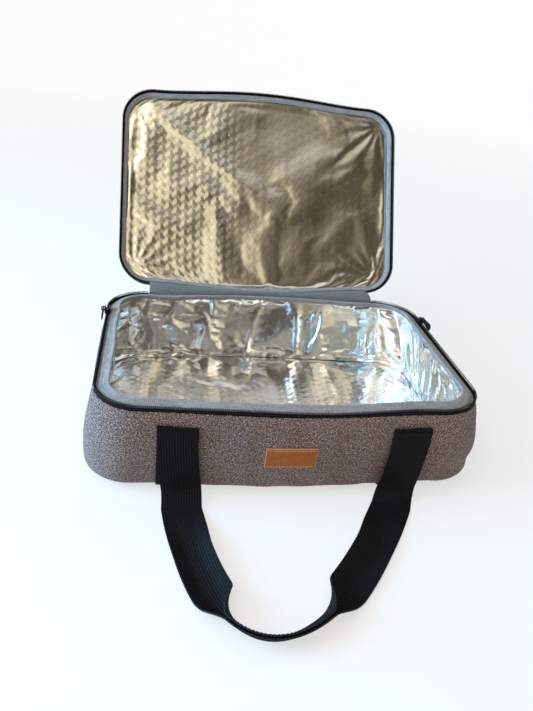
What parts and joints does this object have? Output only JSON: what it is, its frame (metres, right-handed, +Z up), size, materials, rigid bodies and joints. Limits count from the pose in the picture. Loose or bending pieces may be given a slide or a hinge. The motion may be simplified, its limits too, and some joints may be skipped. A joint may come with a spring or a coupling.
{
  "type": "insulated casserole carrier",
  "caption": "Soft insulated carrier for a casserole dish: foil-lined tub, hinged lid with a zipper on three sides, webbing straps and carrying loops.",
  "frame": {"origin": "on the table, under the middle of the base", "axes": "+X to the right and +Z up; the front wall with the patch faces -Y, and the lid hinges at the back, +Y"},
  "size_m": [0.4036, 0.6294, 0.3248],
  "materials": {
    "heather": "heathered woven polyester",
    "foam": "closed-cell foam",
    "board": "stiff sheet",
    "foil": "foil-faced film with an embossed diamond pattern",
    "binding": "woven binding tape",
    "zipper": "black zipper tape and coil",
    "webbing": "black ribbed webbing",
    "patch": "smooth tan leather",
    "dark_metal": "black enamel"
  },
  "bodies": {
    "body": {"outer_wall": "heather", "outer_bottom": "heather", "base_board": "board", "bottom_foam": "foam", "wall_foam": "foam", "liner": "foil", "rim_binding": "binding", "body_tape": "zipper", "body_coil": "zipper", "label_patch": "patch", "hinge_strip": "binding", "left_strap": "webbing", "right_strap": "webbing"},
    "lid": {"lid_cover": "heather", "lid_foam": "foam", "lid_liner": "foil", "lid_binding": "binding", "lid_tape": "zipper", "lid_coil": "zipper"},
    "front_loop": {"front_handle": "webbing"},
    "back_loop": {"back_handle": "webbing"},
    "left_slider_body": {"left_slider": "dark_metal"},
    "right_slider_body": {"right_slider": "dark_metal"},
    "left_puller_body": {"left_puller": "dark_metal"},
    "right_puller_body": {"right_puller": "dark_metal"}
  },
  "joints": [
    {"name": "lid_hinge", "type": "hinge", "parent": "body", "child": "lid", "pos_m": [0, 0.145, 0.087], "axis": [1, 0, 0], "range_deg": [0, 119.5], "deforming": ["hinge_strip"]},
    {"name": "front_loop_swing", "type": "hinge", "parent": "body", "child": "front_loop", "pos_m": [0, -0.14215, 0.078], "axis": [-1, 0, 0], "range_deg": [0, 150]},
    {"name": "back_loop_swing", "type": "hinge", "parent": "body", "child": "back_loop", "pos_m": [0, 0.14215, 0.078], "axis": [1, 0, 0], "range_deg": [0, 64]},
    {"name": "left_slider_run", "type": "slide", "parent": "body", "child": "left_slider_body", "axis": [0, -1, 0], "range_m": [0, 0.15]},
    {"name": "right_slider_run", "type": "slide", "parent": "body", "child": "right_slider_body", "axis": [0, -1, 0], "range_m": [0, 0.15]},
    {"name": "left_puller_flip", "type": "hinge", "parent": "left_slider_body", "child": "left_puller_body", "pos_m": [-0.1945, 0.075, 0.0994], "axis": [0, 0, -1], "range_deg": [0, 170]},
    {"name": "right_puller_flip", "type": "hinge", "parent": "right_slider_body", "child": "right_puller_body", "pos_m": [0.1945, 0.075, 0.0994], "axis": [0, 0, 1], "range_deg": [0, 170]}
  ]
}
